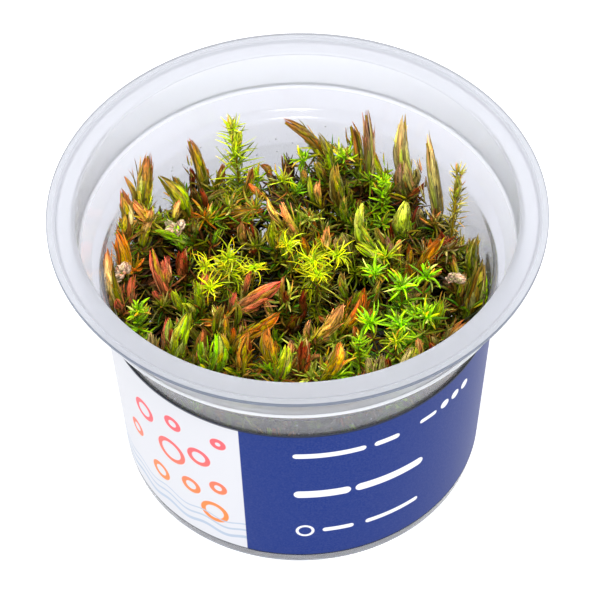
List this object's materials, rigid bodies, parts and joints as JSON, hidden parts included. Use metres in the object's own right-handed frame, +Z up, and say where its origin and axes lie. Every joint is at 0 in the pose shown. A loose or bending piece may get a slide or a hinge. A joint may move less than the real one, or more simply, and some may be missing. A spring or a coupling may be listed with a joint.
{
  "type": "rotala plants in a tissue culture cup",
  "caption": "In-vitro cup of rotala: a carpet of needle-leaved stems rooted in gel inside a thin, tapered, see-through cup with a wide lid rim and a wrap-round label.",
  "frame": {"origin": "centre of the cup's foot, at the height of the face it stands on", "axes": "+Z up the cup's axis, -Y towards the picture's camera, +X to its right"},
  "size_m": [0.1, 0.1, 0.068],
  "materials": {
    "cup_plastic": "milky, see-through, glossy",
    "label_paper": "printed film, satin",
    "nutrient_gel": "wet, cloudy",
    "spear_leaf": "wet, green to wine red",
    "bushy_leaf": "wet, yellow green"
  },
  "bodies": {
    "root": {"cup": "cup_plastic", "label": "label_paper", "gel": "nutrient_gel", "spear_shoot_01": "spear_leaf", "spear_shoot_02": "spear_leaf", "spear_shoot_03": "spear_leaf", "spear_shoot_04": "spear_leaf", "spear_shoot_05": "spear_leaf", "spear_shoot_06": "spear_leaf", "spear_shoot_07": "spear_leaf", "spear_shoot_08": "spear_leaf", "spear_shoot_09": "spear_leaf", "spear_shoot_10": "spear_leaf", "spear_shoot_11": "spear_leaf", "spear_shoot_12": "spear_leaf", "spear_shoot_13": "spear_leaf", "spear_shoot_14": "spear_leaf", "spear_shoot_15": "spear_leaf", "spear_shoot_16": "spear_leaf", "spear_shoot_17": "spear_leaf", "spear_shoot_18": "spear_leaf", "spear_shoot_19": "spear_leaf", "spear_shoot_20": "spear_leaf", "spear_shoot_21": "spear_leaf", "spear_shoot_22": "spear_leaf", "spear_shoot_23": "spear_leaf", "spear_shoot_24": "spear_leaf", "spear_shoot_25": "spear_leaf", "spear_shoot_26": "spear_leaf", "spear_shoot_27": "spear_leaf", "spear_shoot_28": "spear_leaf", "spear_shoot_29": "spear_leaf", "spear_shoot_30": "spear_leaf", "spear_shoot_31": "spear_leaf", "spear_shoot_32": "spear_leaf", "spear_shoot_33": "spear_leaf", "spear_shoot_34": "spear_leaf", "spear_shoot_35": "spear_leaf", "spear_shoot_36": "spear_leaf", "spear_shoot_37": "spear_leaf", "spear_shoot_38": "spear_leaf", "spear_shoot_39": "spear_leaf", "spear_shoot_40": "spear_leaf", "spear_shoot_41": "spear_leaf", "spear_shoot_42": "spear_leaf", "spear_shoot_43": "spear_leaf", "spear_shoot_44": "spear_leaf", "spear_shoot_45": "spear_leaf", "spear_shoot_46": "spear_leaf", "bushy_shoot_01": "bushy_leaf", "bushy_shoot_02": "bushy_leaf", "bushy_shoot_03": "bushy_leaf", "bushy_shoot_04": "bushy_leaf", "bushy_shoot_05": "bushy_leaf", "bushy_shoot_06": "bushy_leaf", "bushy_shoot_07": "bushy_leaf", "bushy_shoot_08": "bushy_leaf", "bushy_shoot_09": "bushy_leaf", "bushy_shoot_10": "bushy_leaf", "bushy_shoot_11": "bushy_leaf"}
  },
  "joints": []
}
